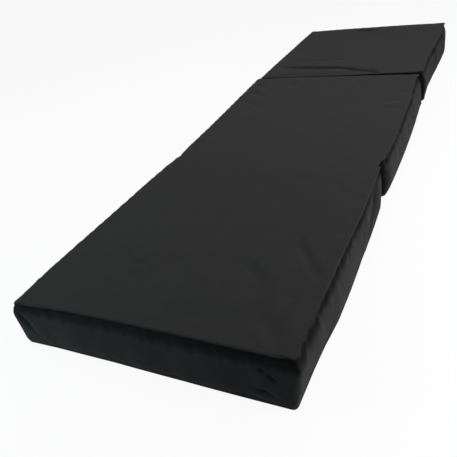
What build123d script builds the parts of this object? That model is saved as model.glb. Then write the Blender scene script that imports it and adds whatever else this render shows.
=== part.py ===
# A fold out ottoman guest bed, lying open on the floor.
# Three foam sections in zipped fabric covers lie end to end. The cover of the foot section runs
# on into the middle one over the top of their joint, and the middle one into the head one under
# theirs, so that the bed folds like a letter Z into a low square ottoman.
# +X is to the right across the bed, +Y runs from the foot end to the head end and +Z is up.
# The origin is on the floor, under the centre of the middle section.
from build123d import *
from math import cos, pi, sin, sqrt
import os

# Driving dimensions, in millimetres
bed_width = 600.0
section_length = 672.0
section_height = 106.0
joint_gap = 8.0  # between two sections, from one flat end wall to the next

# Outline of a section, seen from above
corner_radius = 11.0
right_side_bow = 10.0  # the long right side swells outwards between its corners
outer_end_bow = 5.0  # so do the two ends of the bed

# Sewn cover
fabric_thickness = 1.2
rim_radius = 4.0  # the top and base panels turn over the edge of the foam
rim_tuck = 2.5  # and run this far down to the seam
seam_inset = 4.0  # the seams draw the walls in by this much
crown_height = 4.5  # the middle of the top panel stands this far above its rim
flat_wall_height = 36.0  # the height of the flat stretch halfway up each wall
rim_steps = 3

# Where the walls leave the seams, as shares of the seam's inset and of the way to the flat stretch
wall_inset_share = 0.35
wall_height_share = 0.4

# Foam
foam_clearance = 0.3  # between the foam and the cover
foam_groove_depth = 5.5  # the foam gives way behind the zip

# Fold lines
fold_clearance = 0.4  # from a fold line to the faces that meet there
hinge_side_inset = 14.0  # the hinge cloths stop this far short of the sides
top_hinge_lap = 13.0  # how far the top hinge cloth lies on each top panel
top_hinge_sag = 2.5
base_hinge_lift = 0.3  # from the floor to the base hinge cloth
hinge_clearance = 0.3  # between the hinge cloths and the panels that they are sewn to

# Zip, along the left wall of each section
zip_side_margin = 55.0  # from a section's end to the zip side's strips
zip_slot_height = 11.6  # the strips leave this much of the zip open
chain_width = 8.0
chain_thickness = 3.0
chain_pitch = 4.5
chain_valley_depth = 1.0
tape_width = 12.0
tape_thickness = 0.8
tape_tuck = 10.0  # the tapes run on behind the side wall at both ends
tape_clearance = 0.1  # between the tapes and the strips sewn to them
stop_length = 2.5
stop_rise = 0.3  # the stops stand this far above the chain

# Slider and its pull
slider_length = 13.0
slider_corner = 2.0
slider_clearance = 0.3  # all round the chain and the tapes
wing_thickness = 1.5
flange_thickness = 0.9
wedge_length = 3.5
wedge_width = 3.2
slider_end_margin = 6.0  # from the strips' ends to the slider at either end of its travel
bail_length = 9.0
bail_width = 2.2
bail_tunnel_length = 5.6
bail_tunnel_height = 2.3
bail_bar_thickness = 1.4
bail_corner = 1.3
pull_length = 30.0
pull_width = 7.0
pull_thickness = 1.6
pull_bar_radius = 0.85
pull_arm_clearance = 0.4  # between the bail and the pull's two arms
pull_reach_clearance = 0.7  # between the bail's end and the pull's plate
pull_corner = 2.2

overrun = 5.0  # how far a cutting shape runs past what it cuts

# Places that follow from the sizes above
half_width = bed_width / 2
half_length = section_length / 2
section_pitch = section_length + joint_gap
shoulder_height = section_height - crown_height
base_seam_height = rim_radius + rim_tuck
top_seam_height = shoulder_height - rim_radius - rim_tuck
mid_wall_height = (base_seam_height + top_seam_height) / 2
flat_wall_half = flat_wall_height / 2
zip_side_half = half_length - zip_side_margin
foot_fold_y = -section_pitch / 2
head_fold_y = section_pitch / 2

# Depths are counted inwards from the outer face of the left wall
tape_depth = fabric_thickness + tape_clearance
chain_middle_depth = tape_depth + tape_thickness / 2
chain_depth = chain_middle_depth - chain_thickness / 2
chain_back_depth = chain_depth + chain_thickness
wing_depth = chain_depth - slider_clearance
wing_face_depth = wing_depth - wing_thickness
back_wing_depth = chain_back_depth + slider_clearance
chain_half = chain_width / 2
slider_half_width = chain_half + slider_clearance + flange_thickness
slider_half_length = slider_length / 2
pivot_depth = wing_face_depth - bail_tunnel_height / 2
slider_rest_y = -zip_side_half + slider_end_margin + slider_half_length
chain_start_y = slider_rest_y - slider_half_length + wedge_length + slider_clearance
chain_end_y = zip_side_half - stop_length
slider_travel = chain_end_y - slider_clearance - slider_half_length - slider_rest_y

sections = ("foot", "middle", "head")
section_y = {name: (i - 1) * section_pitch for i, name in enumerate(sections)}
# Only the outer ends of the bed are bowed, as (foot end, head end) of each section
end_bows = {"foot": (outer_end_bow, 0), "middle": (0, 0), "head": (0, outer_end_bow)}


# A side of the outline: straight, or an arc that swells by the bow
def side(start, end, outwards, bow):
    if bow == 0:
        return Line(start, end)
    middle = ((start[0] + end[0]) / 2 + outwards[0] * bow, (start[1] + end[1]) / 2 + outwards[1] * bow)
    return ThreePointArc(start, middle, end)


# The outline of a section with its walls drawn in by an inset, as a face at a height
def outline(section, inset, height, radius):
    foot_bow, head_bow = end_bows[section]
    left, right = -half_width + inset, half_width - inset - right_side_bow
    foot, head = -half_length + inset + foot_bow, half_length - inset - head_bow
    sides = [
        side((left, foot), (right, foot), (0, -1), foot_bow),
        side((right, foot), (right, head), (1, 0), right_side_bow),
        side((right, head), (left, head), (0, 1), head_bow),
        side((left, head), (left, foot), (-1, 0), 0),
    ]
    face = make_face(Curve() + sides)
    rounded = fillet(face.vertices(), radius)
    return Pos(0, section_y[section], height) * rounded.faces()[0]


# A body through a stack of outlines, each given as (inset, height, corner radius)
def stack(section, levels):
    return loft([outline(section, *level) for level in levels], ruled=True)


# The quarter round over the edge of the foam, from the wall to the shoulder, as (inset, rise)
def rim_levels(radius):
    turns = [pi / 2 * step / rim_steps for step in range(rim_steps + 1)]
    return [(rim_radius - radius * cos(turn), radius * sin(turn)) for turn in turns]


# The levels of a top panel's outer or inner skin, from its seam up over the rim
def top_levels(inward):
    levels = [(seam_inset + inward, top_seam_height, corner_radius - seam_inset - inward)]
    rim_base = shoulder_height - rim_radius
    for inset, rise in rim_levels(rim_radius - inward):
        levels.append((inset, rim_base + rise, corner_radius - inset))
    return levels


# The levels of a base panel's outer or inner skin, from its flat underside up to its seam
def base_levels(inward):
    levels = []
    for inset, rise in reversed(rim_levels(rim_radius - inward)):
        levels.append((inset, rim_radius - rise, corner_radius - inset))
    levels.append((seam_inset + inward, base_seam_height, corner_radius - seam_inset - inward))
    return levels


# The levels of a side wall's outer or inner skin: drawn in at the seams, flat halfway up
def wall_levels(inward):
    flat_low, flat_high = mid_wall_height - flat_wall_half, mid_wall_height + flat_wall_half
    low_step = base_seam_height + wall_height_share * (flat_low - base_seam_height)
    high_step = top_seam_height - wall_height_share * (top_seam_height - flat_high)
    places = [
        (seam_inset, base_seam_height),
        (wall_inset_share * seam_inset, low_step),
        (0, flat_low),
        (0, flat_high),
        (wall_inset_share * seam_inset, high_step),
        (seam_inset, top_seam_height),
    ]
    return [(inset + inward, height, corner_radius - inset - inward) for inset, height in places]


# A stack of outlines that ends in a crown: two shallow vaults, one across and one along
def crowned_stack(section, levels):
    inset, height, radius = levels[-1]
    body = stack(section, levels + [(inset, height + crown_height, radius)])
    base = -section_height
    for plane, span, reach in ((Plane.XZ, half_width, half_length), (Plane.YZ, half_length, half_width)):
        arch = ThreePointArc((-span, 0), (0, crown_height), (span, 0))
        walls = Polyline((span, 0), (span, base), (-span, base), (-span, 0))
        vault = extrude(plane * make_face(Curve() + [arch, walls]), reach + overrun, both=True)
        body &= Pos(0, section_y[section], height) * vault
    return body


def top_panel(section):
    skins = [crowned_stack(section, top_levels(inward)) for inward in (0, fabric_thickness)]
    return skins[0] - skins[1]


# A sewn panel or wall: the body of its outer skin less that of its inner one
def sheet(section, levels):
    return stack(section, levels(0)) - stack(section, levels(fabric_thickness))


# A box beside the left wall, from one depth to another, about the middle of the wall's height
def wall_box(section, depths, heights, lengths):
    depth, back_depth = depths
    low, high = heights
    start, end = lengths
    size = (back_depth - depth, end - start, high - low)
    corner = (depth - half_width, section_y[section] + start, mid_wall_height + low)
    return Pos(*corner) * Box(*size, align=(Align.MIN, Align.MIN, Align.MIN))


# The side wall as it is sewn: a long band round the section, and two strips either side of the zip
def side_wall(section):
    ring = sheet(section, wall_levels)
    tall = (-section_height, section_height)
    depths = (-overrun, seam_inset + fabric_thickness + overrun)
    zip_side = wall_box(section, depths, tall, (-zip_side_half, zip_side_half))
    strips = ring & zip_side
    slot_half = zip_slot_height / 2
    slot_lengths = (-zip_side_half - overrun, zip_side_half + overrun)
    strips -= wall_box(section, depths, (-slot_half, slot_half), slot_lengths)
    lower, upper = sorted(strips.solids(), key=lambda solid: solid.center().Z)
    return {"side_band": ring - zip_side, "zip_strip_lower": lower, "zip_strip_upper": upper}


# The foam block fills the cover, with a groove in which the back of the zip runs
def foam_core(section):
    inward = fabric_thickness + foam_clearance
    low, high = inward, shoulder_height - inward
    wall_inset = seam_inset + inward
    levels = [
        (rim_radius + inward, low, corner_radius - rim_radius),
        (wall_inset, low + rim_radius, corner_radius - seam_inset),
        (wall_inset, high - rim_radius, corner_radius - seam_inset),
        (rim_radius + inward, high, corner_radius - rim_radius),
    ]
    groove_half = chain_half + tape_width + foam_clearance
    groove_end = zip_side_half + tape_tuck + foam_clearance
    depths = (-overrun, foam_groove_depth)
    groove = wall_box(section, depths, (-groove_half, groove_half), (-groove_end, groove_end))
    return crowned_stack(section, levels) - groove


# The cloth of one side of the zip, from the chain outwards, above (+1) or below (-1)
def zip_tape(section, way):
    edges = sorted((way * chain_half, way * (chain_half + tape_width)))
    tape_half = zip_side_half + tape_tuck
    depths = (tape_depth, tape_depth + tape_thickness)
    return wall_box(section, depths, edges, (-tape_half, tape_half))


# The closed chain, ridged on the outside, as one outline of depth against length
def zip_chain(section):
    count = int((chain_end_y - chain_start_y) / chain_pitch)
    ridge = (chain_end_y - chain_start_y) / count
    outer, valley = chain_depth - half_width, chain_depth + chain_valley_depth - half_width
    start = section_y[section] + chain_start_y
    points = [(valley, start)]
    for i in range(count):
        points += [(outer, start + (i + 0.5) * ridge), (valley, start + (i + 1) * ridge)]
    back = chain_back_depth - half_width
    points += [(back, start + count * ridge), (back, start)]
    profile = make_face(Polyline(*points, close=True))
    return Pos(0, 0, mid_wall_height - chain_half) * extrude(profile, chain_width, dir=(0, 0, 1))


# One wide stop where the chain ends, and one on each tape where the closed slider rests
def zip_stops(section):
    depths = (chain_depth - stop_rise, chain_back_depth + stop_rise)
    across = (-chain_half, chain_half)
    stops = [wall_box(section, depths, across, (chain_end_y, chain_end_y + stop_length))]
    end = slider_rest_y - slider_half_length - slider_clearance
    inner = wedge_width / 2
    for edges in ((inner, chain_half), (-chain_half, -inner)):
        stops.append(wall_box(section, depths, edges, (end - stop_length, end)))
    return Compound(children=[stop.solid() for stop in stops])


# The slider: two wings joined by a wedge, with flanges beside the chain and a bail for the pull
def zip_slider(section):
    lengths = (slider_rest_y - slider_half_length, slider_rest_y + slider_half_length)
    across = (-slider_half_width, slider_half_width)
    body = wall_box(section, (wing_face_depth, back_wing_depth + wing_thickness), across, lengths)
    body = fillet(body.edges().filter_by(Axis.X), slider_corner)
    channel_half = chain_half + slider_clearance
    past = (lengths[0] - overrun, lengths[1] + overrun)
    body -= wall_box(section, (wing_depth, back_wing_depth), (-channel_half, channel_half), past)
    slit = (tape_depth - slider_clearance, tape_depth + tape_thickness + slider_clearance)
    slit_half = slider_half_width + overrun
    body -= wall_box(section, slit, (-slit_half, slit_half), past)
    wedge_half = wedge_width / 2
    wedge_lengths = (lengths[0], lengths[0] + wedge_length)
    wedge_depths = (wing_depth, back_wing_depth)
    body += wall_box(section, wedge_depths, (-wedge_half, wedge_half), wedge_lengths)
    return body + zip_bail(section)


# The bail: a small bridge on the slider's outer wing, along the zip
def zip_bail(section):
    rise = bail_tunnel_height + bail_bar_thickness
    half = bail_length / 2
    lengths = (slider_rest_y - half, slider_rest_y + half)
    across = (-bail_width / 2, bail_width / 2)
    bridge = wall_box(section, (wing_face_depth - rise, wing_face_depth), across, lengths)
    outer_edges = bridge.edges().filter_by(Axis.Z).sort_by(Axis.X)[:2]
    bridge = fillet(outer_edges, bail_corner)
    tunnel_half = bail_tunnel_length / 2
    tunnel = (slider_rest_y - tunnel_half, slider_rest_y + tunnel_half)
    depths = (wing_face_depth - bail_tunnel_height, wing_face_depth)
    return bridge - wall_box(section, depths, (-bail_width, bail_width), tunnel)


# The pull lies flat along the zip. Its bar turns in the bail and its two arms pass either side
def zip_pull(section):
    arm_gap_half = bail_width / 2 + pull_arm_clearance
    plate_start = bail_length / 2 + pull_reach_clearance
    half_thickness = pull_thickness / 2
    across = (-pull_width / 2, pull_width / 2)
    depths = (pivot_depth - half_thickness, pivot_depth + half_thickness)
    lengths = (slider_rest_y, slider_rest_y + pull_length)
    pull = wall_box(section, depths, across, lengths)
    far_edges = pull.edges().filter_by(Axis.X).sort_by(Axis.Y)[-2:]
    pull = fillet(far_edges, pull_corner)
    window = (slider_rest_y - overrun, slider_rest_y + plate_start)
    through = (depths[0] - overrun, depths[1] + overrun)
    pull -= wall_box(section, through, (-arm_gap_half, arm_gap_half), window)
    centre = (pivot_depth - half_width, section_y[section] + slider_rest_y, mid_wall_height)
    eyes = Pos(*centre) * Cylinder(half_thickness, pull_width)
    eyes -= Pos(*centre) * Box(pull_width, pull_width, 2 * arm_gap_half)
    bar = Pos(*centre) * Cylinder(pull_bar_radius, pull_width)
    return pull + eyes + bar


# A strip of cloth across the bed, from its outline of length against height
def cross_strip(points, middle_y):
    half = half_width - hinge_side_inset
    outline_face = make_face(Polyline(*points, close=True))
    strip = extrude(Plane.YZ * outline_face, half, both=True)
    return Pos(0, middle_y, 0) * strip


# The cloth over the foot joint: sewn down on both top panels, it dips into the gap between them
def top_hinge():
    slope = 2 * crown_height / half_length  # the crown's, where it leaves the rim
    rim = joint_gap / 2 + rim_radius
    end = rim + top_hinge_lap
    under = shoulder_height + slope * rim_radius + hinge_clearance
    end_height = under + slope * top_hinge_lap
    half = [(rim, under), (end, end_height)]
    other_half = [(-y, z) for y, z in reversed(half)]
    lower = other_half + [(0, under - top_hinge_sag)] + half
    upper = [(y, z + fabric_thickness) for y, z in reversed(lower)]
    return cross_strip(lower + upper, foot_fold_y)


# The cloth under the head joint, sewn to both base panels where their rims turn up
def base_hinge():
    low, high = base_hinge_lift, base_hinge_lift + fabric_thickness
    below_rim_centre = rim_radius - high - hinge_clearance
    rim_lap = rim_radius - sqrt(rim_radius**2 - below_rim_centre**2)
    half = joint_gap / 2 + rim_lap
    points = [(-half, low), (half, low), (half, high), (-half, high)]
    return cross_strip(points, head_fold_y)


def section_pieces(section):
    pieces = {
        "foam_core": foam_core(section),
        "top_panel": top_panel(section),
        "base_panel": sheet(section, base_levels),
        "zip_tape_upper": zip_tape(section, 1),
        "zip_tape_lower": zip_tape(section, -1),
        "zip_chain": zip_chain(section),
        "zip_stops": zip_stops(section),
        "zip_slider": zip_slider(section),
        "zip_pull": zip_pull(section),
    }
    pieces.update(side_wall(section))
    return {f"{section}_{name}": shape for name, shape in pieces.items()}


def main():
    os.makedirs("parts", exist_ok=True)
    pieces = {"top_hinge_cloth": top_hinge(), "base_hinge_cloth": base_hinge()}
    for section in sections:
        pieces.update(section_pieces(section))
    for name, shape in pieces.items():
        export_step(shape, f"parts/{name}.step")
    fold_heights = (section_height + fold_clearance, -fold_clearance)
    print("foot fold line at y, z:", foot_fold_y, fold_heights[0])
    print("head fold line at y, z:", head_fold_y, fold_heights[1])
    print("pull pivot at x, z:", pivot_depth - half_width, mid_wall_height)
    print("slider rests at y from a section's middle:", slider_rest_y, "and travels", slider_travel)


main()
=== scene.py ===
# The looks of a fold out ottoman guest bed, lying open: three foam sections in zipped black covers.
# Lengths are in metres in the bed's own frame: +X right across it, +Y from foot to head, +Z up.
import math

import bpy
import numpy as np
from mathutils import Matrix, Vector


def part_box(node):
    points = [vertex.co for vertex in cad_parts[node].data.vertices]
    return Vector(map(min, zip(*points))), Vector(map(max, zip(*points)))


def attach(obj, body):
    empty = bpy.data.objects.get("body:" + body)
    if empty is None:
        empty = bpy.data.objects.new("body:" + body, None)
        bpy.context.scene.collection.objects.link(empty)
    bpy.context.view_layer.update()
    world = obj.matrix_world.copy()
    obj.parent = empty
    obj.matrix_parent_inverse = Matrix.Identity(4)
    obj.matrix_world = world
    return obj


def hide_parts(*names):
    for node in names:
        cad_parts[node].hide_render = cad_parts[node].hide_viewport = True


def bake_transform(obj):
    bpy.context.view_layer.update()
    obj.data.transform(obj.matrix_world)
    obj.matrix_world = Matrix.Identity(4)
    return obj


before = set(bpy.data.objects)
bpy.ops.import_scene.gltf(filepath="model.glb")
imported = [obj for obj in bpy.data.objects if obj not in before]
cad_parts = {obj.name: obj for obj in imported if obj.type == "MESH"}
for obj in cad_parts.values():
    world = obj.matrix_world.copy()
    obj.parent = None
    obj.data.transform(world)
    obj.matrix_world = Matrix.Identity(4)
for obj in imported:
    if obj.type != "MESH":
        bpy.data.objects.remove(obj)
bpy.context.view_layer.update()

sectionNames = ("foot", "middle", "head")

# The camera, from the bed's corners in the photograph
camera = {
    "azimuth": 30.17,  # degrees
    "elevation": 31.14,
    "roll": -10.95,
    "distance": 1.373,
    "lookAt": (-0.0559, -0.5296, 0.0),
    "focalPixels": 542.0,
    "imagePixels": 457,
    "sensor": 36.0,
}


def addObject(name, data):
    thing = bpy.data.objects.new(name, data)
    bpy.context.scene.collection.objects.link(thing)
    return thing


def placeCamera():
    azimuth, elevation, roll = (math.radians(camera[key]) for key in ("azimuth", "elevation", "roll"))
    level = math.cos(elevation)
    back = Vector((math.sin(azimuth) * level, -math.cos(azimuth) * level, math.sin(elevation)))
    right = (-back).cross(Vector((0, 0, 1))).normalized()
    up = right.cross(-back)
    rolledRight = right * math.cos(roll) + up * math.sin(roll)
    rolledUp = up * math.cos(roll) - right * math.sin(roll)
    lens = bpy.data.cameras.new("camera")
    lens.sensor_width = camera["sensor"]
    lens.lens = camera["sensor"] * camera["focalPixels"] / camera["imagePixels"]
    view = addObject("camera", lens)
    place = Vector(camera["lookAt"]) + back * camera["distance"]
    view.matrix_world = Matrix.Translation(place) @ Matrix((rolledRight, rolledUp, back)).transposed().to_4x4()
    bpy.context.scene.camera = view


placeCamera()
print("camera placed")


# A shader node with its settings and its inputs, each a plain value or another node's output
def addNode(tree, kind, inputs=None, **settings):
    node = tree.nodes.new(f"ShaderNode{kind}")
    for key, value in settings.items():
        setattr(node, key, value)
    for key, value in (inputs or {}).items():
        if isinstance(value, bpy.types.NodeSocket):
            tree.links.new(value, node.inputs[key])
        else:
            node.inputs[key].default_value = value
    return node


def doMath(tree, operation, *values):
    return addNode(tree, "Math", dict(enumerate(values)), operation=operation).outputs[0]


def mixColours(tree, share, first, second):
    return addNode(tree, "Mix", {"Factor": share, "A": first, "B": second}, data_type="RGBA").outputs[2]


def addNoise(tree, place, scale, detail=2.0, roughness=0.5):
    inputs = {"Vector": place, "Scale": scale, "Detail": detail, "Roughness": roughness}
    return addNode(tree, "TexNoise", inputs).outputs["Fac"]


def mapRange(tree, value, taken, given=(0.0, 1.0), **settings):
    inputs = {"Value": value, "From Min": taken[0], "From Max": taken[1], "To Min": given[0], "To Max": given[1]}
    return addNode(tree, "MapRange", inputs, **settings).outputs[0]


def addRelief(tree, height, strength, depth, **under):
    inputs = {"Strength": strength, "Distance": depth, "Height": height}
    return addNode(tree, "Bump", inputs | under).outputs[0]


def emptyTree(owner):
    owner.use_nodes = True
    owner.node_tree.nodes.clear()
    return owner.node_tree


# A material whose surface is made by one of the functions below from its look
def newMaterial(name, surface, look):
    material = bpy.data.materials.new(name)
    tree = emptyTree(material)
    place = addNode(tree, "TexCoord").outputs["Object"]
    shader = addNode(tree, "BsdfPrincipled", surface(tree, place, look))
    addNode(tree, "OutputMaterial", {"Surface": shader.outputs[0]})
    return material


# Woven black polyester: threads over and under each other, slight mottling, rubbed edges, and painted shade, a
# near-black colour, in the seams, deep folds and gaps. A noise is its scale, detail and roughness
coverCloth = {
    "colour": (0.0205, 0.0206, 0.0209, 1),
    "mottledColour": (0.0242, 0.0243, 0.0246, 1),
    "rubbedColour": (0.034, 0.034, 0.035, 1),
    # painted shade: the near-black that the seams, deep folds and gaps are darkened to
    "freshColour": (0.0026, 0.0026, 0.0029, 1),
    "roughness": (0.78, 0.88),
    "sheen": 0.015,
    "threadPitch": 0.00055,
    "weaveDepth": 0.00010,
    "crinkle": (9.0, 3.0, 0.45),
    "crinkleDepth": 0.0011,
}
baseCloth = {
    "colour": (0.0210, 0.0211, 0.0215, 1),
    "mottledColour": (0.0250, 0.0251, 0.0255, 1),
    "rubbedColour": (0.034, 0.034, 0.034, 1),
    # painted shade: the near-black colour that darkens shaded places
    "freshColour": (0.012, 0.012, 0.012, 1),
    "roughness": (0.8, 0.9),
    "sheen": 0.02,
    "threadPitch": 0.0011,
    "weaveDepth": 0.0002,
    "crinkle": (7.0, 3.0, 0.45),
    "crinkleDepth": 0.0006,
}
bothCloths = {
    "specular": 0.05,
    "sheenRoughness": 0.5,
    "weaveStrength": 0.8,
    "mottle": (34.0, 5.0, 0.6),
    "mottledFrom": (0.35, 0.7),
    "lint": (900.0, 2.0, 0.5),
    "lintFrom": (0.4, 0.75),
    "rubWithoutLint": 0.35,
}


def wovenCloth(tree, place, look):
    grain = addNode(tree, "UVMap", uv_map="grain").outputs[0]
    ways = addNode(tree, "SeparateXYZ", {0: grain}).outputs
    along, across = (doMath(tree, "DIVIDE", ways[k], look["threadPitch"]) for k in (0, 1))
    warp, weft = (doMath(tree, "ABSOLUTE", doMath(tree, "SINE", doMath(tree, "MULTIPLY", way, math.pi)))
                  for way in (along, across))
    cell = doMath(tree, "ADD", doMath(tree, "FLOOR", along), doMath(tree, "FLOOR", across))
    warpOver, weftOver = (doMath(tree, "MULTIPLY", upper, doMath(tree, "MULTIPLY_ADD", lower, 0.5, 0.5))
                          for upper, lower in ((warp, weft), (weft, warp)))
    crossing = {"Factor": doMath(tree, "PINGPONG", cell, 1.0), "A": warpOver, "B": weftOver}
    weave = addNode(tree, "Mix", crossing, data_type="FLOAT").outputs[0]

    shared = bothCloths
    mottle, lint = (addNoise(tree, place, *shared[key]) for key in ("mottle", "lint"))
    crinkle = addRelief(tree, addNoise(tree, place, *look["crinkle"]), 1.0, look["crinkleDepth"])
    # rub is wear along the base; the second attribute is painted shade in seams, deep folds and gaps
    rub, fresh = (addNode(tree, "Attribute", attribute_name=key).outputs["Fac"] for key in ("rub", "fresh"))
    specks = mapRange(tree, lint, shared["lintFrom"])
    worn = doMath(tree, "MULTIPLY", rub, doMath(tree, "ADD", specks, shared["rubWithoutLint"]))
    shade = mixColours(tree, mapRange(tree, mottle, shared["mottledFrom"]), look["colour"], look["mottledColour"])
    shade = mixColours(tree, worn, shade, look["rubbedColour"])
    return {
        # the colour goes near-black where shade is painted into the seams, folds and gaps
        "Base Color": mixColours(tree, fresh, shade, look["freshColour"]),
        "Roughness": mapRange(tree, mottle, (0.0, 1.0), look["roughness"]),
        "Normal": addRelief(tree, weave, shared["weaveStrength"], look["weaveDepth"], Normal=crinkle),
        "Specular IOR Level": shared["specular"],
        "Sheen Weight": look["sheen"],
        "Sheen Roughness": shared["sheenRoughness"],
    }


# Open-cell cream foam, pitted all over
foam = {
    "colour": (0.78, 0.73, 0.6, 1),
    "poreColour": (0.6, 0.54, 0.42, 1),
    "poreScale": 420.0,
    "poreDepth": 0.0006,
    "poreStrength": 0.7,
    "roughness": 0.9,
}


def pittedFoam(tree, place, look):
    pores = addNode(tree, "TexVoronoi", {"Vector": place, "Scale": look["poreScale"]}).outputs["Distance"]
    return {
        "Base Color": mixColours(tree, pores, look["poreColour"], look["colour"]),
        "Roughness": look["roughness"],
        "Normal": addRelief(tree, pores, look["poreStrength"], look["poreDepth"]),
    }


# Ribbed zip tape, nylon coil, thread and lacquered zinc. Paler is how much lighter the palest places are
tape = {
    "colour": (0.012, 0.012, 0.013, 1), "paler": 1.6, "fuzz": 600.0, "roughness": 0.75, "sheen": 0.2,
    "ribs": 1250.0, "ribWaver": 0.4, "ribDepth": 0.0002, "ribStrength": 0.8,
}
coil = {"colour": (0.014, 0.014, 0.015, 1), "paler": 1.9, "dust": (260.0, 3.0), "roughness": (0.34, 0.54)}
thread = {"colour": (0.02, 0.02, 0.021, 1), "paler": 1.9, "dust": (260.0, 3.0), "roughness": (0.5, 0.7)}
metal = {
    "colour": (0.02, 0.02, 0.021, 1), "wornColour": (0.16, 0.155, 0.15, 1), "roughness": (0.22, 0.4),
    "scuffs": (700.0, 6.0), "wornFrom": (0.62, 0.72), "metallic": 0.35, "coat": 0.5,
}


def palerColour(look):
    return tuple(channel * look["paler"] for channel in look["colour"][:3]) + (1,)


def ribbedTape(tree, place, look):
    bands = {"Vector": place, "Scale": look["ribs"], "Distortion": look["ribWaver"]}
    ribs = addNode(tree, "TexWave", bands, wave_type="BANDS", bands_direction="DIAGONAL").outputs["Fac"]
    return {
        "Base Color": mixColours(tree, addNoise(tree, place, look["fuzz"]), look["colour"], palerColour(look)),
        "Roughness": look["roughness"],
        "Normal": addRelief(tree, ribs, look["ribStrength"], look["ribDepth"]),
        "Sheen Weight": look["sheen"],
    }


def dustyNylon(tree, place, look):
    dust = addNoise(tree, place, *look["dust"])
    return {
        "Base Color": mixColours(tree, dust, look["colour"], palerColour(look)),
        "Roughness": mapRange(tree, dust, (0.0, 1.0), look["roughness"]),
    }


def scuffedLacquer(tree, place, look):
    scuffs = addNoise(tree, place, *look["scuffs"])
    worn = mapRange(tree, scuffs, look["wornFrom"])
    return {
        "Base Color": mixColours(tree, worn, look["colour"], look["wornColour"]),
        "Roughness": mapRange(tree, scuffs, (0.0, 1.0), look["roughness"]),
        "Metallic": look["metallic"],
        "Coat Weight": look["coat"],
    }


finishes = {
    "cover": newMaterial("cover_cloth_material", wovenCloth, coverCloth),
    "base": newMaterial("base_cloth_material", wovenCloth, baseCloth),
    "foam": newMaterial("foam_material", pittedFoam, foam),
    "tape": newMaterial("zip_tape_material", ribbedTape, tape),
    "coil": newMaterial("zip_coil_material", dustyNylon, coil),
    "thread": newMaterial("thread_material", dustyNylon, thread),
    "metal": newMaterial("zip_metal_material", scuffedLacquer, metal),
}
print("materials made")


# Sizes that the covers share. A cover's outline has twice as many cells as the sum of the two counts
cover = {
    "cellsAcross": 76,
    "cellsAlong": 84,
    "wallCells": 9,  # from each seam to the zip's height
    "wallBend": 0.04,  # nearer 0, the rows lie closer together at the seam and the zip
    "cornerCells": 2,  # on either side of each corner, round its arc
    "cornerRadius": 0.0085,
    "radiusLoss": 0.6,  # of the inset that a ring is drawn in by
    "leastRadius": 0.003,
    "clothThickness": 0.0012,
    "lastStep": 0.008,  # from a band's last column round to its first
    "seamInset": 0.0105,  # the top seam draws the wall in
    "baseSeamInset": 0.0025,
    "grooveReach": 0.020,  # and the wall comes out again over this height
    "frontGrooveReach": 0.030,  # or over this, along the front
    "frontGroove": (-0.28, -0.08, 0.27, 0.295),  # across: where that starts, is full, starts to go and ends
    "frontDepth": 0.03,
    "grooveShape": 1.2,
    "leanShape": 1.2,
    "leftMoves": (0.017, -0.006),  # the left side moves from here over the zip's middle to here at the seam
    "cornerGrip": (0.3, 0.85, 0.8, 0.8),  # how much is drawn in at each corner, from the foot's near left one
    "cornerSpan": 0.026,
    "crown": 0.0045,
    "crownShape": (3.2, 3.6),  # how square the crown is, across and along
    "hingeInset": 0.009,  # the cloth over a joint stops this far short of the sides
    "levelDroop": 0.10,  # how much of the crown is lost at the joint that the top cloth crosses
    "foldRoom": 0.0018,  # below the fold line, so that the folded sections clear each other
    "crownEase": 0.0012,
    "endBow": 0.005,
    "zipSlotHalf": 0.0058,
    "zipStitchInset": 0.0028,
    "zipEndMargin": 0.051,
    "flatEndMargin": 0.018,  # beyond the zip's ends the wall stays flat behind the pull, up to here
}
# The top's rim, from the seam out and over to where the flat of the top begins, as inset and height
rim = [(0.0056, 0.001), (0.0016, 0.0021), (0.0, 0.0038), (0.0005, 0.0052), (0.0022, 0.0062), (0.0048, 0.0067)]
# Outwards swell of each section's right side, halfway along
sideBows = {"foot": 0.0105, "middle": 0.010, "head": 0.009}
# Where the sides and ends stand out from the straight (or in, below zero): the place along each and how
# far. The left side and the facing ends move near the top only, clear of the zip
edgeShifts = {
    "foot": {
        "left": [
            (-1.016, 0.0), (-0.8, -0.002), (-0.6, -0.006), (-0.42, -0.009), (-0.375, -0.012),
            (-0.344, -0.017)
        ],
        "right": [
            (-1.016, 0.001), (-0.93, -0.003), (-0.87, -0.003), (-0.8, 0.001), (-0.7, 0.0005),
            (-0.6, -0.001), (-0.5, 0.001), (-0.38, 0.003), (-0.344, 0.0)
        ],
        "front": [
            (-0.3, 0.002), (-0.22, -0.003), (-0.08, -0.0035), (0.08, 0.001), (0.18, 0.0055), (0.3, 0.0115)
        ],
        "back": [(0.26, 0.0), (0.285, -0.004), (0.3, -0.01)],
    },
    "middle": {
        "left": [
            (-0.336, -0.02), (-0.305, -0.014), (-0.26, -0.013), (-0.15, -0.012), (-0.03, -0.0075),
            (0.1, -0.002), (0.2, 0.002), (0.3, 0.0075), (0.336, 0.007)
        ],
        "right": [
            (-0.336, 0.003), (-0.28, 0.005), (-0.15, 0.002), (0.0, 0.0), (0.2, -0.001), (0.3, 0.0),
            (0.336, 0.0035)
        ],
        "front": [(0.2, 0.0), (0.24, -0.004), (0.27, -0.01), (0.3, -0.021)],
        "back": [
            (-0.3, 0.002), (-0.05, 0.0025), (0.05, 0.0), (0.2, -0.001), (0.27, -0.002), (0.285, -0.001),
            (0.3, 0.003)
        ],
    },
    "head": {
        "right": [
            (0.344, 0.006), (0.42, -0.002), (0.5, -0.008), (0.62, -0.007), (0.75, -0.002), (0.9, 0.005),
            (1.016, 0.002)
        ],
        "front": [
            (-0.3, 0.002), (-0.05, 0.0025), (0.05, 0.0), (0.12, -0.006), (0.22, -0.009), (0.26, -0.012),
            (0.285, -0.018), (0.3, -0.026)
        ],
    },
}
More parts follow.
